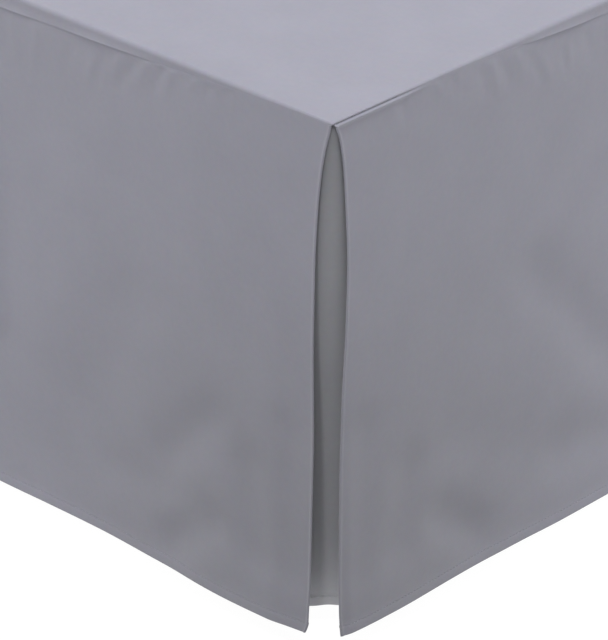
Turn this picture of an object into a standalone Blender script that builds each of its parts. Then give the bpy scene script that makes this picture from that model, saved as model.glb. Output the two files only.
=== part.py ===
"""A tailored bed skirt with split corners, hanging over a plain bed base.

Metres, +Z up. The origin is on the floor under the middle of the part. The foot of the bed faces -Y.
The head end faces +Y and has no skirt. Each sheet of cloth is an open grid, thickened inwards.
"""

import math

import bmesh
import bpy
from mathutils import Vector

# Driving sizes of the bed and its skirt
BED_WIDTH = 1.524
BED_LENGTH = 2.032
DROP = 0.381
HEM_CLEARANCE = 0.013
CLOTH = 0.0015
SEAM_GAP = 0.0003
EDGE_CLEARANCE = 0.002

# Bed base
FOUNDATION_HEIGHT = 0.229
FOUNDATION_CORNER = 0.065
FOUNDATION_RIM = 0.012
LEG_TOP_RADIUS = 0.027
LEG_FOOT_RADIUS = 0.020
LEG_INSET = 0.132
LEG_SIDES = 20
LEG_ROUNDING = 0.002

# The deck's edge rolls over the base, and its seam sinks from the corner towards the middle of a side
ROLL_RADIUS = 0.004
ROLL_SHARE = 0.7
ROLL_STEPS = 4
UNDERLAY_REACH = 0.150
UNDERLAY_TOP_CORNER = 0.004
UNDERLAY_HEM_CORNER = 0.092
UNDERLAY_HEM_INSET = 0.005

# Worked out from the sizes above
TOP = HEM_CLEARANCE + DROP
FOUNDATION_TOP = TOP - CLOTH - SEAM_GAP
LEG_HEIGHT = FOUNDATION_TOP - FOUNDATION_HEIGHT
UNDERLAY_TOP_INSET = CLOTH + SEAM_GAP
UNDERLAY_BASE_INSET = UNDERLAY_TOP_INSET + (UNDERLAY_HEM_INSET - UNDERLAY_TOP_INSET) * FOUNDATION_HEIGHT / DROP
FOUNDATION_INSET = UNDERLAY_BASE_INSET + CLOTH + EDGE_CLEARANCE
HEM_FLARE = 0.011
FOOT_Y = (HEM_FLARE - BED_LENGTH) / 2
HEAD_Y = FOOT_Y + BED_LENGTH

# How far the seam lies under the deck's top: (distance from the corner, depth)
FOOT_SEAM = ((0.0, 0.0020), (0.08, 0.0040), (0.16, 0.0076), (0.24, 0.0104), (0.32, 0.0130), (0.50, 0.0145))
SIDE_SEAM = ((0.0, 0.0020), (0.11, 0.0026), (0.16, 0.0042), (0.20, 0.0070), (0.26, 0.0100), (0.50, 0.0145))

# How far a split's edge stands back from the corner: (depth under the deck, distance)
FOOT_SPLIT = (
    (0.0, 0.0019),
    (0.015, 0.0044),
    (0.040, 0.0094),
    (0.066, 0.0124),
    (0.107, 0.0145),
    (0.156, 0.0149),
    (0.295, 0.0145),
    (0.364, 0.0163),
    (0.381, 0.0188),
)
SIDE_SPLIT = (
    (0.0, 0.0019),
    (0.013, 0.0060),
    (0.033, 0.0100),
    (0.058, 0.0124),
    (0.100, 0.0140),
    (0.150, 0.0122),
    (0.203, 0.0091),
    (0.292, 0.0071),
    (0.360, 0.0066),
    (0.381, 0.0079),
)

# How far the hem stands out from the deck's edge: (distance from the corner, stand-off)
FOOT_HEM = (
    (0.018, 0.0050),
    (0.033, 0.0074),
    (0.050, 0.0101),
    (0.085, 0.0109),
    (0.158, 0.0072),
    (0.216, 0.0052),
    (0.266, 0.0060),
    (0.316, 0.0074),
    (0.450, 0.0070),
)
SIDE_HEM = (
    (0.008, 0.0022),
    (0.017, 0.0047),
    (0.042, 0.0063),
    (0.069, 0.0069),
    (0.115, 0.0062),
    (0.180, 0.0076),
    (0.229, 0.0095),
    (0.277, 0.0097),
    (0.450, 0.0075),
)

# Soft folds: (start distance and depth, end distance and depth, half width, height). A trough is below 0.
FOOT_FOLDS = (
    (0.078, 0.270, 0.062, 0.350, 0.017, -0.0030),
    (0.128, 0.240, 0.132, 0.335, 0.022, -0.0026),
    (0.300, 0.080, 0.318, 0.290, 0.020, 0.0026),
    (0.352, 0.090, 0.372, 0.330, 0.026, -0.0030),
    (0.560, 0.160, 0.590, 0.381, 0.040, 0.0030),
    (0.700, 0.120, 0.680, 0.381, 0.035, -0.0028),
)
SIDE_FOLDS = (
    (0.073, 0.270, 0.062, 0.345, 0.017, -0.0030),
    (0.120, 0.300, 0.118, 0.345, 0.022, -0.0022),
    (0.165, 0.175, 0.262, 0.330, 0.020, 0.0026),
    (0.205, 0.140, 0.310, 0.290, 0.024, -0.0034),
    (0.520, 0.150, 0.555, 0.381, 0.045, 0.0032),
    (0.780, 0.110, 0.750, 0.381, 0.040, -0.0030),
    (1.080, 0.170, 1.120, 0.381, 0.050, 0.0034),
    (1.400, 0.120, 1.380, 0.381, 0.045, -0.0030),
    (1.740, 0.150, 1.770, 0.381, 0.050, 0.0030),
)

# Shape of the folds and of the grids
FLARE_POWER = 1.5
SPLIT_FADE = 0.12
COLUMN_CROWDING = 0.85
ROW_CROWDING = 1.3
FOOT_COLUMNS = 38
SIDE_COLUMNS = 40
DROP_ROWS = 11
UNDERLAY_COLUMNS = 24
UNDERLAY_ROWS = 8


def clear_scene():
    for thing in list(bpy.data.objects):
        bpy.data.objects.remove(thing, do_unlink=True)


def material(name, colour, roughness):
    made = bpy.data.materials.new(name)
    made.use_nodes = True
    shader = made.node_tree.nodes["Principled BSDF"]
    shader.inputs["Base Color"].default_value = (*colour, 1.0)
    shader.inputs["Roughness"].default_value = roughness
    shader.inputs["Metallic"].default_value = 0.0
    return made


def table_slope(table, row):
    """The slope of the smooth curve through a table at one of its rows, level at a peak."""
    steps = [(b[1] - a[1]) / (b[0] - a[0]) for a, b in zip(table, table[1:])]
    before, after = steps[max(row - 1, 0)], steps[min(row, len(steps) - 1)]
    return 2 * before * after / (before + after) if before * after > 0 else 0.0


def read_table(table, where):
    """The value of a two-column table at a place, on a smooth curve through its rows."""
    if where <= table[0][0]:
        return table[0][1]
    for row, ((low, first), (high, second)) in enumerate(zip(table, table[1:])):
        if where <= high:
            width = high - low
            part = (where - low) / width
            rise = part * part * (3 - 2 * part)
            leaving = table_slope(table, row) * part * (1 - part) ** 2
            arriving = table_slope(table, row + 1) * part * part * (part - 1)
            return first + (second - first) * rise + (leaving + arriving) * width
    return table[-1][1]


def fold_height(folds, along, depth):
    """How far the folds push the cloth out at a place on a panel."""
    total = 0.0
    for start, start_depth, end, end_depth, half_width, height in folds:
        run, fall = end - start, end_depth - start_depth
        length = math.hypot(run, fall)
        part = ((along - start) * run + (depth - start_depth) * fall) / length
        across = ((along - start) * fall - (depth - start_depth) * run) / length
        beyond = max(-part, part - length, 0.0)
        total += height * math.exp(-(across**2 + beyond**2) / half_width**2)
    return total


def stand_off(hem, folds, along, depth):
    """How far a panel's outer face stands out from the deck's edge."""
    fall = max(depth, 0.0) / DROP
    flare = read_table(hem, along) * fall**FLARE_POWER
    return flare + fold_height(folds, along, depth) * min(1.0, 2 * fall)


def sheet(name, columns, rows, place, outward, finish, home, fill=False):
    """An open grid whose points are placed by a function of its column and row, thickened inwards.
    With fill, one face joins the points of its first row, from end to end."""
    mesh = bpy.data.meshes.new(name)
    grid = bmesh.new()
    bmesh.ops.create_grid(grid, x_segments=columns, y_segments=rows, size=0.5)
    first_row = {}
    for point in grid.verts:
        column = round((point.co.x + 0.5) * columns)
        row = round((point.co.y + 0.5) * rows)
        point.co = place(column, row)
        if row == 0:
            first_row[column] = point
    if fill:
        grid.faces.new([first_row[column] for column in sorted(first_row)])
        bmesh.ops.recalc_face_normals(grid, faces=grid.faces)
    grid.normal_update()
    facing = sum((face.normal * face.calc_area() for face in grid.faces), Vector())
    if facing.dot(outward) < 0:
        bmesh.ops.reverse_faces(grid, faces=grid.faces)
    grid.to_mesh(mesh)
    grid.free()
    mesh.shade_smooth()
    made = bpy.data.objects.new(name, mesh)
    made.data.materials.append(finish)
    thicken = made.modifiers.new("thickness", "SOLIDIFY")
    thicken.thickness = CLOTH
    thicken.offset = -1.0
    thicken.use_even_offset = True
    home.objects.link(made)
    return made


def split_shift(split, from_corner, depth):
    """How far the split's edge moves a point of a panel away from the corner."""
    near = max(0.0, 1 - from_corner / SPLIT_FADE)
    return read_table(split, depth) * near * near


def foot_station(column):
    """The distance of a column of the foot's grid from the right corner: crowded at both ends."""
    part = column / FOOT_COLUMNS
    return BED_WIDTH * (part - COLUMN_CROWDING * math.sin(2 * math.pi * part) / (2 * math.pi))


def side_station(column):
    """The distance of a column of a side's grid from its corner: crowded at the corner."""
    part = column / SIDE_COLUMNS
    return BED_LENGTH * (part - COLUMN_CROWDING * math.sin(math.pi * part) / math.pi)


def foot_drop(finish, home):
    def place(column, row):
        across = foot_station(column)
        from_corner = min(across, BED_WIDTH - across)
        seam = read_table(FOOT_SEAM, from_corner) + SEAM_GAP
        depth = seam + (DROP - seam) * (row / DROP_ROWS) ** ROW_CROWDING
        from_corner += split_shift(FOOT_SPLIT, from_corner, depth)
        side = 1 if 2 * column <= FOOT_COLUMNS else -1
        out = stand_off(FOOT_HEM, FOOT_FOLDS, from_corner, depth)
        return Vector((side * (BED_WIDTH / 2 - from_corner), FOOT_Y - out, TOP - depth))

    return sheet("foot_drop", FOOT_COLUMNS, DROP_ROWS, place, Vector((0, -1, 0)), finish, home)


def side_drop(name, side, finish, home):
    def place(column, row):
        from_corner = side_station(column)
        seam = read_table(SIDE_SEAM, from_corner) + SEAM_GAP
        depth = seam + (DROP - seam) * (row / DROP_ROWS) ** ROW_CROWDING
        from_corner += split_shift(SIDE_SPLIT, from_corner, depth)
        out = stand_off(SIDE_HEM, SIDE_FOLDS, from_corner, depth)
        return Vector((side * (BED_WIDTH / 2 + out), FOOT_Y + from_corner, TOP - depth))

    return sheet(name, SIDE_COLUMNS, DROP_ROWS, place, Vector((side, 0, 0)), finish, home)


def corner_underlay(name, side, finish, home):
    """The hemmed panel behind a split: it turns the corner tightly at the seam and loosely at the hem."""

    def place(column, row):
        fall = row / UNDERLAY_ROWS
        turn = UNDERLAY_TOP_CORNER + (UNDERLAY_HEM_CORNER - UNDERLAY_TOP_CORNER) * fall
        inset = UNDERLAY_TOP_INSET + (UNDERLAY_HEM_INSET - UNDERLAY_TOP_INSET) * fall
        part = 2 * column / UNDERLAY_COLUMNS - 1
        run = UNDERLAY_REACH * math.copysign(abs(part) ** 1.5, part)
        half_arc = turn * math.pi / 4
        if abs(run) <= half_arc:
            angle = math.pi / 4 + run / turn
            in_x = inset + turn * (1 - math.sin(angle))
            in_y = inset + turn * (1 - math.cos(angle))
        else:
            straight = inset + turn + abs(run) - half_arc
            in_x, in_y = (inset, straight) if run > 0 else (straight, inset)
        from_corner = max(in_x, in_y)
        seam = read_table(SIDE_SEAM if run > 0 else FOOT_SEAM, from_corner) + UNDERLAY_TOP_INSET
        depth = seam + (DROP - seam) * fall
        return Vector((side * (BED_WIDTH / 2 - in_x), FOOT_Y + in_y, TOP - depth))

    return sheet(name, UNDERLAY_COLUMNS, UNDERLAY_ROWS, place, Vector((side, -1, 0)), finish, home)


def edge_roll(part, seam):
    """How far inside the edge, and how far under the top, the deck is at a part of its roll to the seam."""
    radius = min(ROLL_SHARE * seam, ROLL_RADIUS)
    arc = radius * math.pi / 2
    run = part * (arc + seam - radius)
    if run >= arc:
        return 0.0, radius + run - arc
    angle = run / radius
    return radius * (1 - math.sin(angle)), radius * (1 - math.cos(angle))


def deck(finish, home):
    """The panel on top: a level face whose foot and sides roll over the base down to the seam."""
    stations = 2 * SIDE_COLUMNS + FOOT_COLUMNS
    foot_end = SIDE_COLUMNS + FOOT_COLUMNS

    def place(column, row):
        part = row / ROLL_STEPS
        if SIDE_COLUMNS < column < foot_end:
            across = foot_station(column - SIDE_COLUMNS)
            seam = read_table(FOOT_SEAM, min(across, BED_WIDTH - across))
            inside, down = edge_roll(part, seam)
            return Vector((BED_WIDTH / 2 - across, FOOT_Y + inside, TOP - down))
        side = 1 if column <= SIDE_COLUMNS else -1
        back = side_station(max(SIDE_COLUMNS - column, column - foot_end))
        inside, down = edge_roll(part, read_table(SIDE_SEAM, back))
        y = FOOT_Y + max(back, inside)
        return Vector((side * (BED_WIDTH / 2 - inside), y, TOP - down))

    return sheet("deck", stations, ROLL_STEPS, place, Vector((0, 0, 1)), finish, home, fill=True)


def foundation(finish, home):
    """A box with rounded corners and a softly rounded rim."""
    width = BED_WIDTH - 2 * FOUNDATION_INSET
    length = BED_LENGTH - 2 * FOUNDATION_INSET
    mesh = bpy.data.meshes.new("foundation")
    box = bmesh.new()
    bmesh.ops.create_cube(box, size=1.0)
    bmesh.ops.scale(box, vec=(width, length, FOUNDATION_HEIGHT), verts=box.verts)
    upright = [edge for edge in box.edges if abs(edge.verts[0].co.z - edge.verts[1].co.z) > 0.1]
    bmesh.ops.bevel(box, geom=upright, offset=FOUNDATION_CORNER, segments=6, profile=0.5, affect="EDGES")
    box.to_mesh(mesh)
    box.free()
    made = bpy.data.objects.new("foundation", mesh)
    made.location = (0, (FOOT_Y + HEAD_Y) / 2, LEG_HEIGHT + FOUNDATION_HEIGHT / 2)
    rim = made.modifiers.new("rim", "BEVEL")
    rim.width = FOUNDATION_RIM
    rim.segments = 3
    rim.limit_method = "ANGLE"
    rim.angle_limit = math.radians(40)
    mesh.materials.append(finish)
    home.objects.link(made)
    return made


def leg(name, x, y, finish, home):
    height = LEG_HEIGHT - SEAM_GAP
    mesh = bpy.data.meshes.new(name)
    cone = bmesh.new()
    bmesh.ops.create_cone(
        cone,
        cap_ends=True,
        segments=LEG_SIDES,
        radius1=LEG_FOOT_RADIUS,
        radius2=LEG_TOP_RADIUS,
        depth=height,
    )
    cone.to_mesh(mesh)
    cone.free()
    made = bpy.data.objects.new(name, mesh)
    made.location = (x, y, height / 2)
    round_edge = made.modifiers.new("rounding", "BEVEL")
    round_edge.width = LEG_ROUNDING
    round_edge.segments = 2
    round_edge.limit_method = "ANGLE"
    mesh.materials.append(finish)
    home.objects.link(made)
    return made


def legs(finish, home):
    places = {
        "front": FOOT_Y + LEG_INSET,
        "middle": (FOOT_Y + HEAD_Y) / 2,
        "back": HEAD_Y - LEG_INSET,
    }
    for row, y in places.items():
        for side, sign in (("right", 1), ("left", -1)):
            leg(f"leg_{row}_{side}", sign * (BED_WIDTH / 2 - LEG_INSET), y, finish, home)


def main():
    clear_scene()
    home = bpy.data.collections.new("bed_skirt_on_bed_base")
    bpy.context.scene.collection.children.link(home)
    cloth = material("skirt_cloth", (0.25, 0.25, 0.29), 0.85)
    ticking = material("foundation_ticking", (0.78, 0.76, 0.72), 0.80)
    wood = material("leg_wood", (0.05, 0.035, 0.025), 0.45)
    deck(cloth, home)
    foot_drop(cloth, home)
    side_drop("side_drop_right", 1, cloth, home)
    side_drop("side_drop_left", -1, cloth, home)
    corner_underlay("corner_underlay_right", 1, cloth, home)
    corner_underlay("corner_underlay_left", -1, cloth, home)
    foundation(ticking, home)
    legs(wood, home)


main()
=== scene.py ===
"""The looks of a tailored bed skirt with split corners, hanging over a plain bed base.

Metres, +Z up. The foot of the bed faces -Y and the photographed corner is at +X, -Y. A place on a
drop is given by its distance from the nearest corner and its depth under the deck's top.
"""
import math
from types import SimpleNamespace

import bmesh
import bpy
import numpy as np
from mathutils import Matrix, Vector, noise


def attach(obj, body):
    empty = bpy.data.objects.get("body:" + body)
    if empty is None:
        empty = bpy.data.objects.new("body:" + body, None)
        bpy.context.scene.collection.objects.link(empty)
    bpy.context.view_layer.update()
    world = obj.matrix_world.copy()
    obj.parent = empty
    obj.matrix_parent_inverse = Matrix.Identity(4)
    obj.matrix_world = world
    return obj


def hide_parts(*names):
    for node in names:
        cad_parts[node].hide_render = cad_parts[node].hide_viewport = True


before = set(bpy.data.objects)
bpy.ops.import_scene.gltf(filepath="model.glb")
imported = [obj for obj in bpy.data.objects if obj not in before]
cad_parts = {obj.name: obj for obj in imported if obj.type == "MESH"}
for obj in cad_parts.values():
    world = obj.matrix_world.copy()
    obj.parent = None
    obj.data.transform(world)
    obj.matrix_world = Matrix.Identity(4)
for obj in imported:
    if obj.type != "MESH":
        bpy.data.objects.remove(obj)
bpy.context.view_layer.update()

# Sizes of the bed and its skirt
BED_WIDTH = 1.524
BED_LENGTH = 2.032
DROP = 0.381
HEM_CLEARANCE = 0.013
TOP = HEM_CLEARANCE + DROP
HEM_FLARE = 0.011
FOOT_Y = (HEM_FLARE - BED_LENGTH) / 2
HEAD_Y = FOOT_Y + BED_LENGTH

# Cloth, hems and seams
CLOTH = 0.0008
HEM = 0.0088
HEM_RISE = 0.0003
HEM_TILT = 0.0004
HEM_EDGE = 0.0004
STITCH_LINE = 0.0076
STITCH_DIMPLE = 0.00025
DIMPLE_HALF_WIDTH = 0.0007
STITCH_PITCH = 0.0032
STITCH_LENGTH = 0.0026
STITCH_RADIUS = 0.00022
STITCH_FLATNESS = 0.8
STITCH_PROUD = 0.00006
STITCH_START = 0.004
STITCH_END = 0.007
DECK_STITCH_START = 0.008
DECK_STITCH_END = 0.011
SPLIT_RETURN = 0.010
SPLIT_PRESSED = 0.0030
SEAM_SHOULDER = 0.0026
SEAM_EASE = 0.06

# The share of its thickness that a rounded edge loses on either face
EDGE_LOSS = 0.45

# Where a sheet has its closest rows and columns: near an edge, and along a hem
EDGE_STEPS = np.array([0, 0.00012, 0.0003, 0.0006, 0.0010, 0.0016, 0.0026])
HEM_STEPS = np.array([0.0060, 0.0070, 0.0076, 0.0082, 0.0087, 0.0092, 0.0098])
HEM_ROWS = 0.0125
SHORTEST_STEP = 0.00009

# The deck's edge
ROLL_RADIUS = 0.0028
ROLL_SHARE = 0.75
CORNER_ROUNDING = 0.0012
DECK_SHOULDER = 0.0060
SHOULDER_SHARE = 0.6

# How far the seam lies under the deck's top: (distance from the corner, depth)
FOOT_SEAM = ((0.0, 0.0016), (0.08, 0.0040), (0.16, 0.0076), (0.24, 0.0104), (0.32, 0.0130), (0.50, 0.0145))
SIDE_SEAM = ((0.0, 0.0016), (0.11, 0.0022), (0.16, 0.0040), (0.20, 0.0070), (0.26, 0.0100), (0.50, 0.0145))

# How far the cloth turns in at the seam, or below 0 how far the deck's edge stands out over the drop:
# (distance from the corner, turn)
FOOT_TURN = (
    (0.0, 0.0),
    (0.145, 0.0),
    (0.188, -0.0005),
    (0.218, -0.0008),
    (0.246, -0.0003),
    (0.268, -0.0003),
    (0.290, -0.0007),
    (0.330, -0.0004),
    (0.50, -0.0005),
)
SIDE_TURN = (
    (0.0, 0.0008),
    (0.050, 0.0008),
    (0.088, 0.0),
    (0.175, 0.0),
    (0.200, -0.0005),
    (0.230, -0.0007),
    (0.256, -0.0003),
    (0.290, -0.0005),
    (0.50, -0.0005),
)

# How far a drop's cloth is gathered up into a ridge under the seam, in the same columns
FOOT_RIDGE = ((0.0, 0.0), (0.50, 0.0001))
SIDE_RIDGE = ((0.0, 0.0009), (0.055, 0.0009), (0.095, 0.0), (0.50, 0.0001))
RIDGE_DEPTH = 0.0018
RIDGE_HALF_WIDTH = 0.0009

# Away from the splits, the panels slope out a little from their seam
SLOPE_RISE = 0.0003
SLOPE_REACH = 0.030
SLOPE_NONE = 0.05
SLOPE_FULL = 0.13

# A split's folded edge, a little proud of the cloth
RIM_HEIGHT = 0.0004
RIM_PLACE = 0.0012
RIM_HALF_WIDTH = 0.0009

# How far a split's edge stands back from the corner: (depth under the deck, distance)
FOOT_SPLIT = (
    (0.0, 0.0009),
    (0.005, 0.0016),
    (0.015, 0.0044),
    (0.026, 0.0070),
    (0.040, 0.0094),
    (0.066, 0.0124),
    (0.107, 0.0145),
    (0.156, 0.0149),
    (0.230, 0.0138),
    (0.295, 0.0145),
    (0.364, 0.0160),
    (0.375, 0.0165),
    (0.381, 0.0186),
)
SIDE_SPLIT = (
    (0.0, 0.0009),
    (0.004, 0.0032),
    (0.013, 0.0068),
    (0.033, 0.0104),
    (0.058, 0.0124),
    (0.100, 0.0140),
    (0.150, 0.0122),
    (0.203, 0.0091),
    (0.292, 0.0071),
    (0.360, 0.0066),
    (0.381, 0.0079),
)

# How far the hem stands out from the deck's edge: (distance from the corner, stand-off)
FOOT_HEM = (
    (0.018, 0.0050),
    (0.033, 0.0074),
    (0.050, 0.0101),
    (0.085, 0.0109),
    (0.158, 0.0072),
    (0.216, 0.0052),
    (0.266, 0.0060),
    (0.316, 0.0074),
    (0.450, 0.0070),
)
SIDE_HEM = (
    (0.008, 0.0022),
    (0.017, 0.0047),
    (0.042, 0.0063),
    (0.069, 0.0069),
    (0.115, 0.0062),
    (0.180, 0.0076),
    (0.229, 0.0095),
    (0.277, 0.0097),
    (0.450, 0.0075),
)

# Soft folds: (start distance and depth, end distance and depth, half width, height). A trough is below 0.
FOOT_FOLDS = (
    (0.102, 0.247, 0.147, 0.293, 0.018, -0.0025),
    (0.128, 0.318, 0.204, 0.324, 0.018, -0.0012),
    (0.104, 0.329, 0.140, 0.358, 0.0160, -0.0027),
    (0.074, 0.276, 0.060, 0.334, 0.019, -0.0031),
    (0.036, 0.232, 0.030, 0.340, 0.015, -0.0017),
    (0.190, 0.190, 0.240, 0.330, 0.030, -0.0012),
    (0.314, 0.060, 0.316, 0.250, 0.010, 0.0024),
    (0.240, 0.120, 0.262, 0.240, 0.034, 0.0016),
    (0.560, 0.160, 0.590, 0.381, 0.040, 0.0030),
    (0.700, 0.120, 0.680, 0.381, 0.035, -0.0028),
)
SIDE_FOLDS = (
    (0.105, 0.327, 0.142, 0.356, 0.0165, -0.0026),
    (0.073, 0.280, 0.061, 0.332, 0.020, -0.0026),
    (0.031, 0.232, 0.024, 0.340, 0.015, -0.0015),
    (0.197, 0.178, 0.292, 0.284, 0.022, -0.0021),
    (0.110, 0.268, 0.215, 0.322, 0.024, -0.0010),
    (0.230, 0.326, 0.330, 0.334, 0.022, -0.0019),
    (0.520, 0.150, 0.555, 0.381, 0.045, 0.0032),
    (0.780, 0.110, 0.750, 0.381, 0.040, -0.0030),
    (1.080, 0.170, 1.120, 0.381, 0.050, 0.0034),
    (1.400, 0.120, 1.380, 0.381, 0.045, -0.0030),
    (1.740, 0.150, 1.770, 0.381, 0.050, 0.0030),
)

# Puckers under the seam, in the same columns
FOOT_PUCKERS = (
    (0.092, 0.008, 0.096, 0.015, 0.0035, -0.00027),
    (0.108, 0.010, 0.115, 0.022, 0.0040, -0.00032),
    (0.122, 0.010, 0.127, 0.017, 0.0030, 0.00027),
    (0.142, 0.010, 0.147, 0.022, 0.0035, 0.00040),
    (0.152, 0.012, 0.159, 0.027, 0.0035, -0.00045),
    (0.166, 0.012, 0.172, 0.024, 0.0035, 0.00036),
    (0.178, 0.016, 0.190, 0.033, 0.0040, -0.00049),
    (0.190, 0.014, 0.197, 0.026, 0.0035, 0.00040),
    (0.206, 0.018, 0.212, 0.033, 0.0040, -0.00036),
    (0.216, 0.026, 0.222, 0.041, 0.0040, 0.00040),
    (0.236, 0.022, 0.242, 0.037, 0.0045, -0.00032),
)
SIDE_PUCKERS = (
    (0.056, 0.006, 0.059, 0.015, 0.0030, 0.00027),
    (0.066, 0.008, 0.068, 0.020, 0.0030, -0.00032),
    (0.098, 0.006, 0.103, 0.015, 0.0030, 0.00027),
    (0.114, 0.008, 0.124, 0.019, 0.0035, -0.00040),
    (0.118, 0.010, 0.122, 0.016, 0.0030, 0.00040),
    (0.140, 0.012, 0.146, 0.026, 0.0040, -0.00040),
    (0.152, 0.010, 0.157, 0.026, 0.0035, 0.00045),
    (0.164, 0.016, 0.169, 0.027, 0.0035, -0.00045),
    (0.176, 0.012, 0.182, 0.023, 0.0035, 0.00036),
    (0.190, 0.018, 0.200, 0.034, 0.0040, -0.00040),
    (0.204, 0.026, 0.209, 0.036, 0.0040, 0.00040),
    (0.222, 0.022, 0.225, 0.033, 0.0035, -0.00045),
    (0.229, 0.024, 0.230, 0.034, 0.0030, 0.00040),
    (0.246, 0.020, 0.252, 0.035, 0.0045, -0.00032),
)

# Puckers further along, where the photograph shows none: the least and the most of each of their sizes
PUCKER_SEED = 7
PUCKER_START = 0.27
PUCKER_SPACING = 0.018
PUCKER_GAPS = (0.6, 1.4)
PUCKER_DEPTH = 0.018
PUCKER_SLANT = (-0.003, 0.008)
PUCKER_FALL = (0.012, 0.028)
PUCKER_HEIGHT = (0.0003, 0.00045)
PUCKER_HALF_WIDTH = (0.0035, 0.0060)

# Shape of the flare, of the split and of the cloth's unevenness
FLARE_POWER = 1.3
SPLIT_FADE = 0.12
UNEVEN_HEIGHT = 0.0006
UNEVEN_PER_METRE = 8.0

# How far under the seam the puckers and the unevenness have come in
PUCKER_EASE = 0.004
UNEVEN_EASE = 0.05

# The drops' colour and its spread, and the colour of the underlays' thread, painted lighter than their
# cloth as a painted highlight along their hems
CLOTH_COLOUR = (0.193, 0.192, 0.230)
TONE_SPREAD = 0.045
UNDERLAY_THREAD_PAINTED_LIGHT = (0.350, 0.353, 0.375)

# Painted shade: low down by each split, the drops' cloth and thread are painted darker and greyer, where
# the corner lies in shade
PAINTED_CORNER_SHADE = (0.805, 0.805, 0.780)
CORNER_SHADE_FULL = 0.05
CORNER_SHADE_GONE = 0.40

# The underlays' painted tones, though they are the drops' cloth: painted shade at the seam, a lighter
# painted light lower down, and the depth that the lower tone is reached at
UNDERLAY_PAINTED_SHADE_TOP = (0.188, 0.190, 0.207)
UNDERLAY_PAINTED_LIGHT_LOW = (0.292, 0.294, 0.315)
UNDERLAY_PAINTED_LIGHT_DEPTH = 0.290

# Corner underlays
UNDERLAY_REACH = 0.150
UNDERLAY_TOP_CORNER = 0.004
UNDERLAY_HEM_CORNER = 0.092
UNDERLAY_SEAM = 0.0018
UNDERLAY_TOP_INSET = 0.0019
UNDERLAY_HEM_INSET = 0.005
UNDERLAY_HEM_RISE = 0.0008
UNDERLAY_HEM_LIFT = 0.0017
UNDERLAY_LIFT_HALF_WIDTH = 0.009
UNDERLAY_CROWDING = 1.5

# Bed base
FOUNDATION_TOP = TOP - 0.0018
FOUNDATION_HEIGHT = 0.229
FOUNDATION_INSET = 0.0072
FOUNDATION_CORNER = 0.065
FOUNDATION_RIM = 0.012
WELT_HEIGHT = 0.0160
WELT_RADIUS = 0.0018
WELT_CLEAR = 0.0215
PANEL_START = 0.030
PANEL_BULGE = 0.0010
LEG_INSET = 0.132
LEG_GAP = 0.0003
LEG_SIDES = 48

# Floor and lights
FLOOR_REACH = 300.0
FLOOR_SHADE = 0.04
FLOOR_GLOW = 0.97
SUN_DISTANCE = 5.0
WORLD_GLOW = 0.08

# Camera, fitted to the photograph's corner and edges
IMAGE_LONG_SIDE = 640
SENSOR = 36.0
FOCAL_PIXELS = 4200.0
CAMERA_AZIMUTH = math.radians(43.51)
CAMERA_ELEVATION = math.radians(28.05)
CAMERA_DISTANCE = 2.624
AIM_RIGHT = -0.0177
AIM_UP = -0.1226


def table_slopes(at, value):
    """The slope of the smooth curve through a table at each row, level at a peak."""
    steps = np.diff(value) / np.diff(at)
    before = np.concatenate([steps[:1], steps])
    after = np.concatenate([steps, steps[-1:]])
    rising = before * after > 0
    return np.where(rising, 2 * before * after / np.where(rising, before + after, 1), 0.0)


def read_table(table, where):
    """The value of a two-column table at each place, on a smooth curve through its rows."""
    at, value = np.array(table, float).T
    slope = table_slopes(at, value)
    row = np.clip(np.searchsorted(at, where) - 1, 0, len(at) - 2)
    width = at[row + 1] - at[row]
    part = np.clip((where - at[row]) / width, 0, 1)
    rise = part * part * (3 - 2 * part)
    leaving = slope[row] * part * (1 - part) ** 2
    arriving = slope[row + 1] * part * part * (part - 1)
    return value[row] + (value[row + 1] - value[row]) * rise + (leaving + arriving) * width


def fold_height(folds, along, depth):
    """How far the folds push the cloth out at each place on a panel."""
    total = np.zeros(np.broadcast(along, depth).shape)
    for start, start_depth, end, end_depth, half_width, height in folds:
        run, fall = end - start, end_depth - start_depth
        length = math.hypot(run, fall)
        part = ((along - start) * run + (depth - start_depth) * fall) / length
        across = ((along - start) * fall - (depth - start_depth) * run) / length
        beyond = np.maximum(np.maximum(-part, part - length), 0.0)
        total += height * np.exp(-(across**2 + beyond**2) / half_width**2)
    return total


def unevenness(first, second, seed):
    """Soft low waves that no piece of hung cloth is without."""
    places = np.stack([first.ravel(), second.ravel()], 1) * UNEVEN_PER_METRE
    values = [noise.noise(Vector((a, b, seed))) for a, b in places]
    return UNEVEN_HEIGHT * np.array(values).reshape(first.shape)


def more_puckers(last):
    """Puckers on the stretch of a seam that the photograph doesn't show."""
    draw = np.random.default_rng(PUCKER_SEED)
    rows, at = [], PUCKER_START
    while at < last:
        slant = draw.uniform(*PUCKER_SLANT)
        fall = draw.uniform(*PUCKER_FALL)
        height = draw.choice((-1, 1)) * draw.uniform(*PUCKER_HEIGHT)
        half_width = draw.uniform(*PUCKER_HALF_WIDTH)
        rows.append((at, PUCKER_DEPTH, at + slant, PUCKER_DEPTH + fall, half_width, height))
        at += PUCKER_SPACING * draw.uniform(*PUCKER_GAPS)
    return tuple(rows)


def smooth_step(low, high, value):
    """0 up to low and 1 from high, with a soft rise between them."""
    part = np.clip((value - low) / (high - low), 0, 1)
    return part * part * (3 - 2 * part)


def rounded(distance, radius):
    """The share of its radius that a rounded edge has drawn back: 1 at the edge, 0 a radius away."""
    inside = np.clip(1 - distance / radius, 0, 1)
    return 1 - np.sqrt(1 - inside**2)


def eased(distance, reach):
    """1 at an edge, falling softly to 0 a reach away."""
    return np.clip(1 - distance / reach, 0, 1) ** 2


def within(distance, width):
    """1 nearer to an edge than width and 0 further away, with a quick soft change."""
    return 1 / (1 + np.exp(np.clip((distance - width) / HEM_EDGE, -50, 50)))


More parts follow.
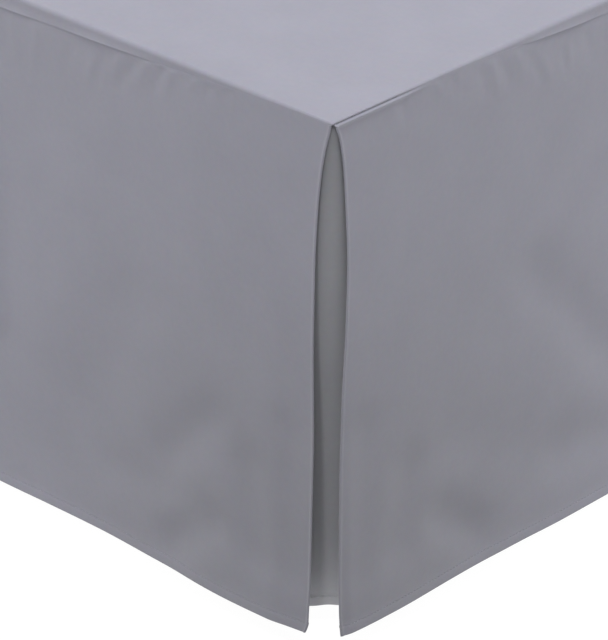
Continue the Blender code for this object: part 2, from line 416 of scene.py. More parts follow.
def hem_relief(distance):
    """How far a hem stands proud at each distance from its edge, with a dimple along its stitching."""
    dimple = STITCH_DIMPLE * np.exp(-(((distance - STITCH_LINE) / DIMPLE_HALF_WIDTH) ** 2))
    return HEM_RISE * within(distance, HEM) + HEM_TILT * np.clip(1 - distance / HEM, 0, 1) - dimple


def merged(*parts):
    """One rising list of distances, without steps too short to matter."""
    places = np.unique(np.round(np.concatenate(parts), 6))
    return places[np.concatenate([[True], np.diff(places) > SHORTEST_STEP])]


def stations(length, near_step, near_reach, far_step, both_ends):
    """Distances along a panel, close together where the photograph shows it."""
    near = np.arange(0, near_reach, near_step)
    last = length / 2 if both_ends else length
    far = np.linspace(near_reach, last, round((last - near_reach) / far_step) + 1)
    half = np.concatenate([near, far])
    return merged(half, length - half) if both_ends else half


def skin(points, first, second):
    """Outward directions of a grid of points, from how it runs along its columns and rows."""
    along = np.gradient(points, first, axis=0)
    down = np.gradient(points, second, axis=1)
    facing = np.cross(along, down)
    return facing / np.linalg.norm(facing, axis=-1, keepdims=True)


def placed(name, data):
    """A new object in the scene, made of a mesh, a lamp or a camera."""
    made = bpy.data.objects.new(name, data)
    bpy.context.scene.collection.objects.link(made)
    return made


def face_outwards(mesh):
    """Turns a closed mesh's faces outwards where they look in, and shades it smoothly."""
    work = bmesh.new()
    work.from_mesh(mesh)
    if work.calc_volume(signed=True) < 0:
        bmesh.ops.reverse_faces(work, faces=work.faces)
    work.to_mesh(mesh)
    work.free()
    mesh.shade_smooth()


def closed_sheet(name, outer, inner, flat, bridge=0):
    """One closed piece of cloth from its two faces, each an array of columns, rows and x, y, z.

    flat holds each point's place on the flat cloth, kept as a UV map. With bridge, the last row is the
    rim of a level middle, which is filled: by that many strips from end to end, and then by one face.
    """
    columns, rows = outer.shape[:2]
    count = columns * rows
    index = np.arange(count).reshape(columns, rows)
    quads = np.stack([index[:-1, :-1], index[1:, :-1], index[1:, 1:], index[:-1, 1:]], -1).reshape(-1, 4)
    ring = [index[:-1, 0], index[-1, :-1], index[:0:-1, -1], index[0, :0:-1]]
    middle = []
    if bridge:
        last = index[:, -1]
        ring = [index[:-1, 0], index[-1], index[0, :0:-1]]
        for step in range(bridge):
            middle.append([last[step], last[step + 1], last[-step - 2], last[-step - 1]])
        middle.append(last[bridge : columns - bridge].tolist())
    ring = np.concatenate(ring)
    after = np.roll(ring, -1)
    rim = np.stack([after, ring, ring + count, after + count], -1)
    faces = quads.tolist() + [[int(point) for point in face] for face in middle]
    faces += [[point + count for point in reversed(face)] for face in faces]
    faces += rim.tolist()

    mesh = bpy.data.meshes.new(name)
    mesh.from_pydata(np.concatenate([outer.reshape(-1, 3), inner.reshape(-1, 3)]).tolist(), [], faces)
    places = np.tile(flat.reshape(-1, 2), (2, 1)).astype(np.float32)
    corners = np.concatenate([np.array(face) for face in faces])
    mesh.uv_layers.new(name="cloth").uv.foreach_set("vector", places[corners].ravel())
    face_outwards(mesh)
    return placed(name, mesh)


def drop_faces(drop, along, down):
    """Points of a drop's outer and inner face, from places along the cloth and under its seam."""
    to_split = np.minimum(along, drop.length - along) if drop.both_ends else along
    to_end = np.minimum(along, drop.length - along)
    depth = down + read_table(drop.seam, to_split) * np.clip(1 - down / SEAM_EASE, 0, 1)
    near_split = np.maximum(0.0, 1 - to_split / SPLIT_FADE) ** 2
    place = to_split + read_table(drop.split, depth) * near_split
    fall = depth / DROP
    to_hem = DROP - depth

    out = read_table(drop.hem, place) * fall**FLARE_POWER
    out += fold_height(drop.folds, place, depth) * np.minimum(1.0, 2 * fall)
    out += fold_height(drop.puckers, place, depth) * smooth_step(0, PUCKER_EASE, down)
    out += unevenness(along, depth, drop.seed) * smooth_step(0, UNEVEN_EASE, down)
    out += hem_relief(to_hem)
    out += RIM_HEIGHT * np.exp(-(((to_end - RIM_PLACE) / RIM_HALF_WIDTH) ** 2))
    ridge = np.exp(-(((down - RIDGE_DEPTH) / RIDGE_HALF_WIDTH) ** 2))
    out += SLOPE_RISE * smooth_step(SLOPE_NONE, SLOPE_FULL, to_split) * (1 - eased(down, SLOPE_REACH))
    turned_in = np.maximum(read_table(drop.turn, to_split), 0.0)
    out += read_table(drop.ridge, to_split) * ridge - turned_in * eased(down, SEAM_SHOULDER)

    returned = within(to_end, SPLIT_RETURN) * smooth_step(0, SPLIT_PRESSED, to_end)
    doubled = np.maximum(within(to_hem, HEM), returned)
    thickness = CLOTH * (1 + doubled)
    drawn_back = rounded(np.minimum(to_end, to_hem), thickness / 2) * thickness * EDGE_LOSS

    def points(off):
        if drop.both_ends:
            side = np.where(along * 2 <= drop.length, 1.0, -1.0)
            return np.stack([side * (BED_WIDTH / 2 - place), FOOT_Y - off, TOP - depth], -1)
        return np.stack([drop.side * (BED_WIDTH / 2 + off), FOOT_Y + place, TOP - depth], -1)

    return points(out - drawn_back), points(out - thickness + drawn_back)


def hung_drop(name, drop):
    """A drop as a closed sheet with its hem."""
    columns = stations(
        drop.length, near_step=0.0020, near_reach=0.36, far_step=0.0060, both_ends=drop.both_ends
    )
    columns = merged(EDGE_STEPS, columns, drop.length - EDGE_STEPS)
    top = np.array([0, 0.00015, 0.0004, 0.0008, 0.0012, 0.0017, 0.0024, 0.0034, 0.0048, 0.0065, 0.009])
    middle = np.linspace(0.012, DROP - HEM_ROWS, 60)
    rows = merged(top, middle, DROP - HEM_STEPS, DROP - EDGE_STEPS)
    along, down = np.meshgrid(columns, rows, indexing="ij")
    outer, inner = drop_faces(drop, along, down)
    return closed_sheet(name, outer, inner, np.stack([along, -down], -1))


def roll(seam, run):
    """How far inside the edge and under the top the deck is at a run up from its seam, and its facing."""
    radius = np.minimum(ROLL_SHARE * seam, ROLL_RADIUS)
    straight = seam - radius
    facing = math.pi / 2 - np.clip((run - straight) / radius, 0, math.pi / 2)
    level = np.maximum(run - straight - radius * math.pi / 2, 0.0)
    inside = radius * (1 - np.sin(facing)) + level
    down = np.where(run < straight, seam - run, radius * (1 - np.cos(facing)))
    return inside, down, facing


def roll_length(seam):
    radius = np.minimum(ROLL_SHARE * seam, ROLL_RADIUS)
    return seam - radius + radius * math.pi / 2


def deck_cloth():
    """The panel on top: a level face whose foot and sides roll over the base down to the seam."""
    start = [0, 0.01, 0.025, 0.05, 0.08, 0.12, 0.18, 0.26]
    rolled = np.array(start + [0.36, 0.46, 0.56, 0.66, 0.76, 0.86, 0.94, 1])
    level = np.array([0.0012, 0.0028, 0.005, 0.008, 0.013, 0.020, 0.030, 0.045, 0.065, 0.090, 0.120])
    side = stations(BED_LENGTH, near_step=0.0025, near_reach=0.40, far_step=0.0085, both_ends=False)
    side = merged(EDGE_STEPS / 2, side, BED_LENGTH - HEM_STEPS, BED_LENGTH - EDGE_STEPS)
    foot = stations(BED_WIDTH, near_step=0.0025, near_reach=0.40, far_step=0.0085, both_ends=True)
    foot = merged(EDGE_STEPS / 2, foot, BED_WIDTH - EDGE_STEPS / 2)
    hem_columns = int(np.sum(side > BED_LENGTH - HEM_STEPS[-1] - 0.00001))

    def edge(place, seam_table, turn_table, length, far_corner, lift):
        """How far forward, inside and down an edge's cloth is, and how far out it lies flat."""
        from_corner = np.minimum(place, length - place) if far_corner else place
        seam = read_table(seam_table, from_corner)[:, None]
        whole = roll_length(seam)
        run = np.concatenate([rolled * whole, whole + level + 0 * seam], 1)
        inside, down, facing = roll(seam, run)
        turned = read_table(turn_table, from_corner)[:, None]
        inside = inside + turned * eased(run, np.minimum(DECK_SHOULDER, SHOULDER_SHARE * whole))
        inside, down = inside - lift * np.sin(facing), down - lift * np.cos(facing)
        corner = inside[0] + CORNER_ROUNDING
        turn = np.clip(1 - from_corner / CORNER_ROUNDING, 0, 1)[:, None] * math.pi / 4
        half = length / 2 if far_corner else length
        share = (from_corner[:, None] - CORNER_ROUNDING) / (half - CORNER_ROUNDING)
        onward = corner + share * (half - corner)
        forward = np.where(turn > 0, corner - CORNER_ROUNDING * np.sin(turn), onward)
        inward = np.where(turn > 0, corner - CORNER_ROUNDING * np.cos(turn), inside)
        return forward, inward, down, whole - np.minimum(run, whole)

    def face(lift_side, lift_foot):
        side_edge = edge(side, SIDE_SEAM, SIDE_TURN, BED_LENGTH, False, lift_side)
        foot_edge = edge(foot, FOOT_SEAM, FOOT_TURN, BED_WIDTH, True, lift_foot)
        side_forward, side_inward, side_down, side_out = side_edge
        foot_forward, foot_inward, foot_down, foot_out = foot_edge
        half = np.where(foot * 2 <= BED_WIDTH, 1.0, -1.0)[:, None]
        right = np.stack([BED_WIDTH / 2 - side_inward, FOOT_Y + side_forward, TOP - side_down], -1)
        front = np.stack([half * (BED_WIDTH / 2 - foot_forward), FOOT_Y + foot_inward, TOP - foot_down], -1)
        left = right * np.array([-1.0, 1.0, 1.0])
        points = np.concatenate([right[:0:-1], front, left[1:]])
        right_flat = np.stack([right[..., 0] + side_out, right[..., 1]], -1)
        front_flat = np.stack([front[..., 0], front[..., 1] - foot_out], -1)
        left_flat = right_flat * np.array([-1.0, 1.0])
        return points, np.concatenate([right_flat[:0:-1], front_flat, left_flat[1:]])

    to_head = BED_LENGTH - side[:, None]
    thickness = CLOTH * (1 + within(to_head, HEM))
    drawn_back = rounded(to_head, thickness / 2) * thickness * EDGE_LOSS
    outer, flat = face(HEM_RISE * within(to_head, HEM) - drawn_back, 0.0)
    inner, _ = face(drawn_back - thickness, -CLOTH)
    return closed_sheet("deck_cloth", outer, inner, flat, bridge=hem_columns)


def underlay_middle(part, fall):
    """Where the corner underlay of the +X side is, before its thickness."""
    turn = UNDERLAY_TOP_CORNER + (UNDERLAY_HEM_CORNER - UNDERLAY_TOP_CORNER) * fall
    inset = UNDERLAY_TOP_INSET + (UNDERLAY_HEM_INSET - UNDERLAY_TOP_INSET) * fall
    run = UNDERLAY_REACH * np.sign(part) * np.abs(part) ** UNDERLAY_CROWDING
    half_arc = turn * math.pi / 4
    angle = math.pi / 4 + np.clip(run / turn, -math.pi / 4, math.pi / 4)
    straight = np.maximum(np.abs(run) - half_arc, 0.0)
    in_x = inset + turn * (1 - np.sin(angle)) + np.where(run < 0, straight, 0.0)
    in_y = inset + turn * (1 - np.cos(angle)) + np.where(run > 0, straight, 0.0)
    from_corner = np.maximum(in_x, in_y)
    seam = np.where(run > 0, read_table(SIDE_SEAM, from_corner), read_table(FOOT_SEAM, from_corner))
    lifted = UNDERLAY_HEM_LIFT * np.exp(-((run / UNDERLAY_LIFT_HALF_WIDTH) ** 2)) * fall**3
    depth = seam + UNDERLAY_SEAM + (DROP - seam) * fall - lifted
    return np.stack([BED_WIDTH / 2 - in_x, FOOT_Y + in_y, TOP - depth], -1), run


def underlay_cloth(name, side):
    """The hemmed panel behind a split, which turns the corner tightly at its seam and loosely below."""
    parts = np.linspace(-1, 1, 121)
    rows = merged(np.linspace(0, DROP - HEM_ROWS, 76), DROP - HEM_STEPS, DROP - EDGE_STEPS)
    fall = rows / DROP
    part, down = np.meshgrid(parts, fall, indexing="ij")
    middle, run = underlay_middle(part, down)
    facing = skin(middle, parts, fall)
    if facing[len(parts) // 2, len(rows) // 2, 0] < 0:
        facing = -facing
    to_hem = DROP * (1 - down)
    to_end = UNDERLAY_REACH - np.abs(run)
    thickness = CLOTH * (1 + within(to_hem, HEM))
    drawn_back = rounded(np.minimum(to_end, to_hem), thickness / 2) * thickness * EDGE_LOSS
    lift = UNDERLAY_HEM_RISE * within(to_hem, HEM) - drawn_back
    mirror = np.array([side, 1.0, 1.0])
    outer = (middle + facing * lift[..., None]) * mirror
    inner = (middle + facing * (drawn_back - thickness)[..., None]) * mirror
    return closed_sheet(name, outer, inner, np.stack([run, -DROP * down], -1))


def stitch_row(name, starts, ends, facing):
    """A row of stitches as one piece, each a small grain of thread from a start to an end."""
    along = ends - starts
    across = np.cross(along, facing)
    across /= np.linalg.norm(across, axis=1, keepdims=True)
    middle = (starts + ends) / 2 + facing * STITCH_PROUD
    ring = [facing * STITCH_FLATNESS, across, -facing * STITCH_FLATNESS, -across]
    points = [starts, ends] + [middle + STITCH_RADIUS * way for way in ring]
    places = np.stack(points, 1).reshape(-1, 3)
    one = [[0, 2 + turn, 2 + (turn + 1) % 4] for turn in range(4)]
    one += [[1, 2 + (turn + 1) % 4, 2 + turn] for turn in range(4)]
    faces = (np.array(one)[None] + 6 * np.arange(len(starts))[:, None, None]).reshape(-1, 3)
    mesh = bpy.data.meshes.new(name)
    mesh.from_pydata(places.tolist(), [], faces.tolist())
    face_outwards(mesh)
    return placed(name, mesh)


def drop_stitches(name, drop):
    """The stitching along a drop's hem."""
    start = np.arange(STITCH_START, drop.length - STITCH_END, STITCH_PITCH)
    down = np.full_like(start, DROP - STITCH_LINE)
    first, _ = drop_faces(drop, start, down)
    last, _ = drop_faces(drop, start + STITCH_LENGTH, down)
    facing = np.array([0.0, -1.0, 0.0]) if drop.both_ends else np.array([drop.side, 0.0, 0.0])
    return stitch_row(name, first, last, np.tile(facing, (len(start), 1)))


def underlay_stitches(name, side):
    """The stitching along an underlay's hem."""
    start = np.arange(STITCH_START - UNDERLAY_REACH, UNDERLAY_REACH - STITCH_END, STITCH_PITCH)
    ends = []
    for run in (start, start + STITCH_LENGTH):
        part = np.sign(run) * (np.abs(run) / UNDERLAY_REACH) ** (1 / UNDERLAY_CROWDING)
        ends.append(underlay_middle(part, 1 - STITCH_LINE / DROP)[0])
    facing = np.cross(ends[1] - ends[0], (0.0, 0.0, 1.0))
    facing /= np.linalg.norm(facing, axis=1, keepdims=True)
    mirror = np.array([side, 1.0, 1.0])
    first, last = ((end + UNDERLAY_HEM_RISE * facing) * mirror for end in ends)
    return stitch_row(name, first, last, facing * mirror)


def deck_stitches():
    """The stitching along the deck's head hem."""
    start = np.arange(-BED_WIDTH / 2 + DECK_STITCH_START, BED_WIDTH / 2 - DECK_STITCH_END, STITCH_PITCH)
    level = np.full_like(start, HEAD_Y - STITCH_LINE), np.full_like(start, TOP + HEM_RISE)
    first = np.stack([start, *level], -1)
    last = np.stack([start + STITCH_LENGTH, *level], -1)
    return stitch_row("deck_hem_stitching", first, last, np.tile([0.0, 0.0, 1.0], (len(start), 1)))


def solid_of_rings(name, rings):
    """A closed solid from level rings of points, from the lowest to the highest, capped at both ends."""
    count, around = rings.shape[:2]
    index = np.arange(count * around).reshape(count, around)
    after = np.roll(index, -1, 1)
    quads = np.stack([index[:-1], after[:-1], after[1:], index[1:]], -1).reshape(-1, 4).tolist()
    faces = quads + [index[0, ::-1].tolist(), index[-1].tolist()]
    mesh = bpy.data.meshes.new(name)
    mesh.from_pydata(rings.reshape(-1, 3).tolist(), [], faces)
    mesh.shade_smooth()
    return placed(name, mesh)


def base_cover():
    """The bed base: a rounded box with a welt along its upper and lower edges."""
    width = BED_WIDTH / 2 - FOUNDATION_INSET
    length = BED_LENGTH / 2 - FOUNDATION_INSET
    middle_y = (FOOT_Y + HEAD_Y) / 2
    turn = np.radians(np.linspace(0, 90, 13))
    outline, ways = [], []
    for quarter, (sign_x, sign_y) in enumerate(((1, 1), (-1, 1), (-1, -1), (1, -1))):
        angle = turn + quarter * math.pi / 2
        centre = np.array([sign_x * (width - FOUNDATION_CORNER), sign_y * (length - FOUNDATION_CORNER)])
        way = np.stack([np.cos(angle), np.sin(angle)], -1)
        ways.append(way)
        outline.append(centre + way * FOUNDATION_CORNER)
    outline, ways = np.concatenate(outline), np.concatenate(ways)

    lower = FOUNDATION_TOP - FOUNDATION_HEIGHT
    rim = FOUNDATION_RIM
    welt = WELT_RADIUS
    rim_turn = np.radians(np.linspace(0, 90, 8))
    welt_turn = np.radians((0, 40, 80, 110, 145, 180))
    half = [(rim * (math.sin(angle) - 1), rim * (1 - math.cos(angle))) for angle in rim_turn]
    half += [(welt * math.sin(angle), WELT_HEIGHT + welt * (1 - math.cos(angle))) for angle in welt_turn]
    half.append((0.0, WELT_CLEAR))
    span = FOUNDATION_HEIGHT - 2 * PANEL_START
    heights = np.linspace(PANEL_START, FOUNDATION_HEIGHT - PANEL_START, 12)
    plain = [(PANEL_BULGE * math.sin(math.pi * (z - PANEL_START) / span), z) for z in heights]
    side = half + plain + [(off, FOUNDATION_HEIGHT - height) for off, height in reversed(half)]
    rings = [
        np.column_stack([outline + ways * off + (0, middle_y), np.full(len(outline), lower + height)])
        for off, height in side
    ]
    return solid_of_rings("base_cover", np.array(rings))


def turned_leg(name, x, y):
    """A tapered round leg with softened edges."""
    height = FOUNDATION_TOP - FOUNDATION_HEIGHT - LEG_GAP
    profile = (
        (0.0160, 0.0),
        (0.0188, 0.0004),
        (0.0198, 0.0016),
        (0.0202, 0.0040),
        (0.0210, 0.0300),
        (0.0224, 0.0700),
        (0.0243, 0.1120),
        (0.0264, 0.1500),
        (0.0268, height - 0.0030),
        (0.0264, height - 0.0010),
        (0.0250, height),
    )
    angle = np.linspace(0, 2 * math.pi, LEG_SIDES + 1)[:-1]
    rings = [
        np.column_stack([x + radius * np.cos(angle), y + radius * np.sin(angle), np.full(LEG_SIDES, z)])
        for radius, z in profile
    ]
    return solid_of_rings(name, np.array(rings))


def material(name, roughness, sheen=0.0):
    """A new material with its shader's plain values set, and its nodes ready to be added to."""
    made = bpy.data.materials.new(name)
    made.use_nodes = True
    shader = made.node_tree.nodes["Principled BSDF"]
    shader.inputs["Roughness"].default_value = roughness
    shader.inputs["Sheen Weight"].default_value = sheen
    shader.inputs["Sheen Roughness"].default_value = 0.5
    return made, made.node_tree, shader


def node(tree, kind, inputs=(), **settings):
    """A node with its settings made and its inputs filled, by value or from another node's output."""
    made = tree.nodes.new(kind)
    for name, value in settings.items():
        setattr(made, name, value)
    for name, value in dict(inputs).items():
        if isinstance(value, bpy.types.NodeSocket):
            tree.links.new(value, made.inputs[name])
        else:
            made.inputs[name].default_value = value
    return made


def mix_colours(tree, factor, first, second, kind="MIX"):
    made = node(tree, "ShaderNodeMix", {0: factor}, data_type="RGBA", blend_type=kind)
    for place, value in ((6, first), (7, second)):
        if isinstance(value, bpy.types.NodeSocket):
            tree.links.new(value, made.inputs[place])
        else:
            made.inputs[place].default_value = (*value, 1.0)
    return made.outputs[2]


def corner_shade_mask(tree, place):
    """The mask of the painted corner shade: a soft 0 to 1 share that is highest at the foot of each split.
    """
    mirrored = node(tree, "ShaderNodeVectorMath", {0: place}, operation="ABSOLUTE").outputs[0]
    parts = node(tree, "ShaderNodeSeparateXYZ", {0: mirrored}).outputs
    plain = node(tree, "ShaderNodeSeparateXYZ", {0: place}).outputs
    joined = node(tree, "ShaderNodeCombineXYZ", {0: parts[0], 1: plain[1], 2: plain[2]}).outputs[0]
    foot_of_split = (BED_WIDTH / 2, FOOT_Y, HEM_CLEARANCE)
    apart = node(tree, "ShaderNodeVectorMath", {0: joined, 1: foot_of_split}, operation="DISTANCE")
    ends = {"Value": apart.outputs["Value"], "From Min": CORNER_SHADE_GONE, "From Max": CORNER_SHADE_FULL}
    return node(tree, "ShaderNodeMapRange", ends, interpolation_type="SMOOTHSTEP").outputs[0]


def cloth_material(name, colour, weave=0.10, painted_corner_shade=False, painted_light_colour=None):
    """Brushed microfibre: a close plain weave under a soft nap, a little uneven in tone."""
    made, tree, shader = material(name, 0.86, 0.25)
    flat = node(tree, "ShaderNodeUVMap", uv_map="cloth").outputs[0]
    place = node(tree, "ShaderNodeTexCoord").outputs["Object"]
    broad = node(tree, "ShaderNodeTexNoise", {"Vector": place, "Scale": 7.0, "Detail": 3.0})
    patches = node(tree, "ShaderNodeTexNoise", {"Vector": place, "Scale": 26.0, "Detail": 4.0})
    nap = node(tree, "ShaderNodeTexNoise", {"Vector": place, "Scale": 260.0, "Detail": 3.0})
    darker = tuple(value * (1 - TONE_SPREAD) for value in colour)
    lighter = tuple(value * (1 + TONE_SPREAD) for value in colour)
    base = mix_colours(tree, broad.outputs["Fac"], darker, lighter)
    # Painted shade at the seam turning to painted light lower down: the tone moves to the second colour
    # with depth
    if painted_light_colour:
        height = node(tree, "ShaderNodeSeparateXYZ", {0: place}).outputs[2]
        ends = {"Value": height, "From Min": TOP, "From Max": TOP - UNDERLAY_PAINTED_LIGHT_DEPTH}
        down = node(tree, "ShaderNodeMapRange", ends, interpolation_type="SMOOTHSTEP").outputs[0]
        base = mix_colours(tree, down, base, painted_light_colour)
    base = mix_colours(tree, 0.08, base, patches.outputs["Fac"], "SOFT_LIGHT")
    base = mix_colours(tree, 0.10, base, nap.outputs["Color"], "SOFT_LIGHT")
    # Painted shade: darker and greyer towards the foot of each split
    if painted_corner_shade:
        base = mix_colours(tree, corner_shade_mask(tree, place), base, PAINTED_CORNER_SHADE, "MULTIPLY")
    tree.links.new(base, shader.inputs["Base Color"])
    lines = {"Vector": flat, "Scale": 620.0, "Distortion": 0.6}
    warp = node(tree, "ShaderNodeTexWave", lines, bands_direction="X")
    weft = node(tree, "ShaderNodeTexWave", lines, bands_direction="Y")
    both = {0: warp.outputs["Fac"], 1: weft.outputs["Fac"]}
    threads = node(tree, "ShaderNodeMath", both, operation="MULTIPLY")
    relief = node(tree, "ShaderNodeMath", {0: threads.outputs[0], 1: nap.outputs["Fac"]}, operation="ADD")
    depth = {"Height": relief.outputs[0], "Strength": weave, "Distance": 0.0002}
    bump = node(tree, "ShaderNodeBump", depth)
    tree.links.new(bump.outputs["Normal"], shader.inputs["Normal"])
    return made


def ticking_material():
    """Pale woven ticking with fine ribs."""
    made, tree, shader = material("foundation_ticking", 0.8, 0.15)
    place = node(tree, "ShaderNodeTexCoord").outputs["Object"]
    upright = {"Vector": place, "Scale": 160.0, "Distortion": 0.4}
    level = {"Vector": place, "Scale": 220.0, "Distortion": 0.4}
    ribs = node(tree, "ShaderNodeTexWave", upright, bands_direction="X")
    cross = node(tree, "ShaderNodeTexWave", level, bands_direction="Z")
    broad = node(tree, "ShaderNodeTexNoise", {"Vector": place, "Scale": 5.0, "Detail": 3.0})
    base = mix_colours(tree, broad.outputs["Fac"], (0.72, 0.70, 0.65), (0.80, 0.78, 0.74))
    base = mix_colours(tree, ribs.outputs["Fac"], base, (0.70, 0.68, 0.64))
    tree.links.new(base, shader.inputs["Base Color"])
    both = {0: ribs.outputs["Fac"], 1: cross.outputs["Fac"]}
    relief = node(tree, "ShaderNodeMath", both, operation="ADD")
    depth = {"Height": relief.outputs[0], "Strength": 0.3, "Distance": 0.0004}
    bump = node(tree, "ShaderNodeBump", depth)
    tree.links.new(bump.outputs["Normal"], shader.inputs["Normal"])
    return made


def wood_material():
    """Dark stained wood, its grain running up the leg."""
    made, tree, shader = material("leg_wood", 0.42)
    place = node(tree, "ShaderNodeTexCoord").outputs["Object"]
    drawn = node(tree, "ShaderNodeMapping", {"Vector": place, "Scale": (60.0, 60.0, 4.0)})
    lines = {"Vector": drawn.outputs[0], "Scale": 3.0, "Detail": 6.0, "Distortion": 0.8}
    grain = node(tree, "ShaderNodeTexNoise", lines).outputs["Fac"]
    base = mix_colours(tree, grain, (0.030, 0.019, 0.012), (0.085, 0.055, 0.036))
    tree.links.new(base, shader.inputs["Base Color"])
    rough = node(tree, "ShaderNodeMapRange", {"Value": grain, "To Min": 0.34, "To Max": 0.52})
    tree.links.new(rough.outputs[0], shader.inputs["Roughness"])
    bump = node(tree, "ShaderNodeBump", {"Height": grain, "Strength": 0.15, "Distance": 0.0005})
    tree.links.new(bump.outputs["Normal"], shader.inputs["Normal"])
    return made


def dress(piece, finish, slot, *nodes):
    """Gives a piece its material, hangs it under the root body and hides the CAD parts that it stands in
    for.
    """
    piece.data.materials.append(finish)
    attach(piece, "root")
    if nodes:
        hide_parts(*nodes)


# The drops' cloth and thread carry painted shade near the foot of each split
cloth = cloth_material("skirt_cloth", CLOTH_COLOUR, painted_corner_shade=True)
# The underlays' cloth is painted darker at the seam and lighter lower down, as painted shade and painted
# light
painted_shade_underlay_cloth = cloth_material("skirt_cloth_underlay_painted_light_and_shade", UNDERLAY_PAINTED_SHADE_TOP, painted_light_colour=UNDERLAY_PAINTED_LIGHT_LOW)
thread = cloth_material("skirt_thread", CLOTH_COLOUR, weave=0.0, painted_corner_shade=True)
# The underlays' thread is painted lighter, as a painted highlight along their hems
painted_light_underlay_thread = cloth_material("underlay_thread_painted_light", UNDERLAY_THREAD_PAINTED_LIGHT, weave=0.0)
ticking = ticking_material()
wood = wood_material()

foot = SimpleNamespace(
    length=BED_WIDTH,
    both_ends=True,
    side=0,
    seam=FOOT_SEAM,
    turn=FOOT_TURN,
    ridge=FOOT_RIDGE,
    split=FOOT_SPLIT,
    hem=FOOT_HEM,
    folds=FOOT_FOLDS,
    puckers=FOOT_PUCKERS + more_puckers(BED_WIDTH / 2),
    seed=1.5,
)
drop_piece = hung_drop("foot_drop_cloth", foot)
drop_stitching = drop_stitches("foot_hem_stitching", foot)
dress(drop_piece, cloth, "skirt_cloth", "foot_drop")
dress(drop_stitching, thread, "skirt_cloth")

for side_name, side in (("right", 1), ("left", -1)):
    drop = SimpleNamespace(
        length=BED_LENGTH,
        both_ends=False,
        side=side,
        seam=SIDE_SEAM,
        turn=SIDE_TURN,
        ridge=SIDE_RIDGE,
        split=SIDE_SPLIT,
        hem=SIDE_HEM,
        folds=SIDE_FOLDS,
        puckers=SIDE_PUCKERS + more_puckers(BED_LENGTH - 0.03),
        seed=4.5 + side,
    )
    piece = hung_drop(f"side_drop_{side_name}_cloth", drop)
    stitching = drop_stitches(f"side_hem_{side_name}_stitching", drop)
    dress(piece, cloth, "skirt_cloth", f"side_drop_{side_name}")
    dress(stitching, thread, "skirt_cloth")

    underlay = underlay_cloth(f"corner_underlay_{side_name}_cloth", side)
    stitching = underlay_stitches(f"corner_underlay_{side_name}_stitching", side)
    dress(underlay, painted_shade_underlay_cloth, "skirt_cloth", f"corner_underlay_{side_name}")
    dress(stitching, painted_light_underlay_thread, "skirt_cloth")

deck = deck_cloth()
deck_stitching = deck_stitches()
dress(deck, cloth, "skirt_cloth", "deck")
dress(deck_stitching, thread, "skirt_cloth")

dress(base_cover(), ticking, "foundation_ticking", "foundation")
leg_rows = {"front": FOOT_Y + LEG_INSET, "middle": (FOOT_Y + HEAD_Y) / 2, "back": HEAD_Y - LEG_INSET}
for row, y in leg_rows.items():
    for side_name, side in (("right", 1), ("left", -1)):
        leg = turned_leg(f"turned_leg_{row}_{side_name}", side * (BED_WIDTH / 2 - LEG_INSET), y)
        dress(leg, wood, "leg_wood", f"leg_{row}_{side_name}")

# Floor, light and camera
floor_corners = [(x * FLOOR_REACH, y * FLOOR_REACH, 0) for x, y in ((-1, -1), (1, -1), (1, 1), (-1, 1))]
floor_mesh = bpy.data.meshes.new("floor")
floor_mesh.from_pydata(floor_corners, [], [(0, 1, 2, 3)])
floor = placed("floor", floor_mesh)
pale, _, pale_shader = material("floor", 0.9)
pale_shader.inputs["Base Color"].default_value = (FLOOR_SHADE, FLOOR_SHADE, FLOOR_SHADE, 1.0)
pale_shader.inputs["Emission Color"].default_value = (1.0, 1.0, 1.0, 1.0)
pale_shader.inputs["Emission Strength"].default_value = FLOOR_GLOW
floor_mesh.materials.append(pale)


def towards(azimuth, elevation):
    """The direction of a light seen from the bed. Its azimuth is from -Y towards +X, in degrees."""
    turn, lift = math.radians(azimuth), math.radians(elevation)
    return Vector((math.sin(turn) * math.cos(lift), -math.cos(turn) * math.cos(lift), math.sin(lift)))


def light(name, kind, way, place, energy, colour):
    """A lamp at a place, shining back along the direction that it is seen in."""
    lamp = bpy.data.lights.new(name, kind)
    lamp.energy = energy
    lamp.color = colour
    made = placed(name, lamp)
    made.rotation_euler = way.to_track_quat("Z", "Y").to_euler()
    made.location = place
    made.visible_camera = False
    return lamp


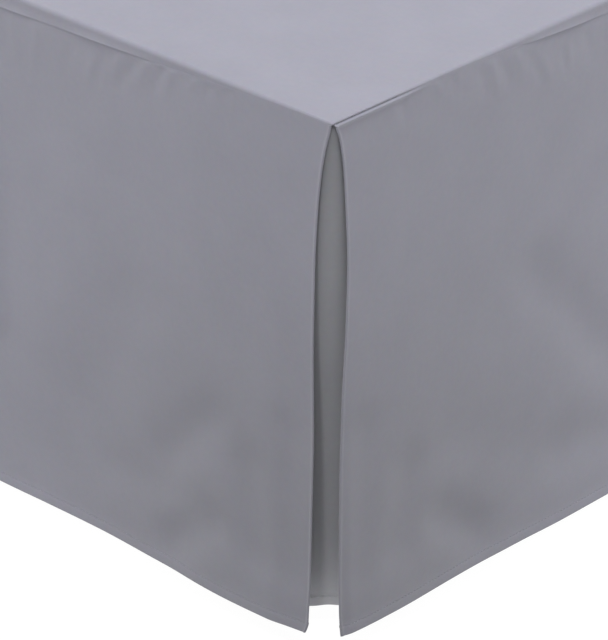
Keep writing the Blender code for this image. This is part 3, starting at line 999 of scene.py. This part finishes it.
def sun(name, azimuth, elevation, strength, angle, colour=(1.0, 1.0, 1.0)):
    """A broad even light from far away."""
    way = towards(azimuth, elevation)
    light(name, "SUN", way, way * SUN_DISTANCE, strength, colour).angle = math.radians(angle)


def softbox(name, azimuth, elevation, distance, size, power, colour=(1.0, 1.0, 1.0)):
    """A square softbox, aimed at the middle of the drops at the photographed corner."""
    way = towards(azimuth, elevation)
    corner = Vector((BED_WIDTH / 2, FOOT_Y, TOP / 2))
    lamp = light(name, "AREA", way, corner + way * distance, power, colour)
    lamp.size = size


sun("overhead_softbox", 45.0, 82.0, 4.0, 16.0, (0.985, 0.985, 1.0))
sun("front_fill", 28.0, 13.0, 0.56, 9.0)
sun("low_fill", 42.0, 4.0, 0.12, 10.0)
softbox("left_softbox", -50.0, 42.0, 1.6, 0.8, 9.6, (0.98, 0.98, 1.0))
softbox("right_softbox", 140.0, 42.0, 1.6, 0.8, 11.1, (0.98, 0.98, 1.0))

world = bpy.data.worlds.new("studio")
world.use_nodes = True
background = world.node_tree.nodes["Background"]
background.inputs["Color"].default_value = (1.0, 1.0, 1.0, 1.0)
background.inputs["Strength"].default_value = WORLD_GLOW
bpy.context.scene.world = world
bpy.context.scene.view_settings.view_transform = "Standard"

cos_lift, sin_lift = math.cos(CAMERA_ELEVATION), math.sin(CAMERA_ELEVATION)
right = Vector((math.cos(CAMERA_AZIMUTH), math.sin(CAMERA_AZIMUTH), 0))
back = Vector((math.sin(CAMERA_AZIMUTH) * cos_lift, -math.cos(CAMERA_AZIMUTH) * cos_lift, sin_lift))
up = back.cross(right)
aim = Vector((BED_WIDTH / 2, FOOT_Y, TOP)) + right * AIM_RIGHT + up * AIM_UP
lens = bpy.data.cameras.new("camera")
lens.sensor_width = SENSOR
lens.lens = FOCAL_PIXELS / IMAGE_LONG_SIDE * SENSOR
camera = placed("camera", lens)
turned = Matrix((right, up, back)).transposed().to_4x4()
camera.matrix_world = Matrix.Translation(aim + back * CAMERA_DISTANCE) @ turned
bpy.context.scene.camera = camera
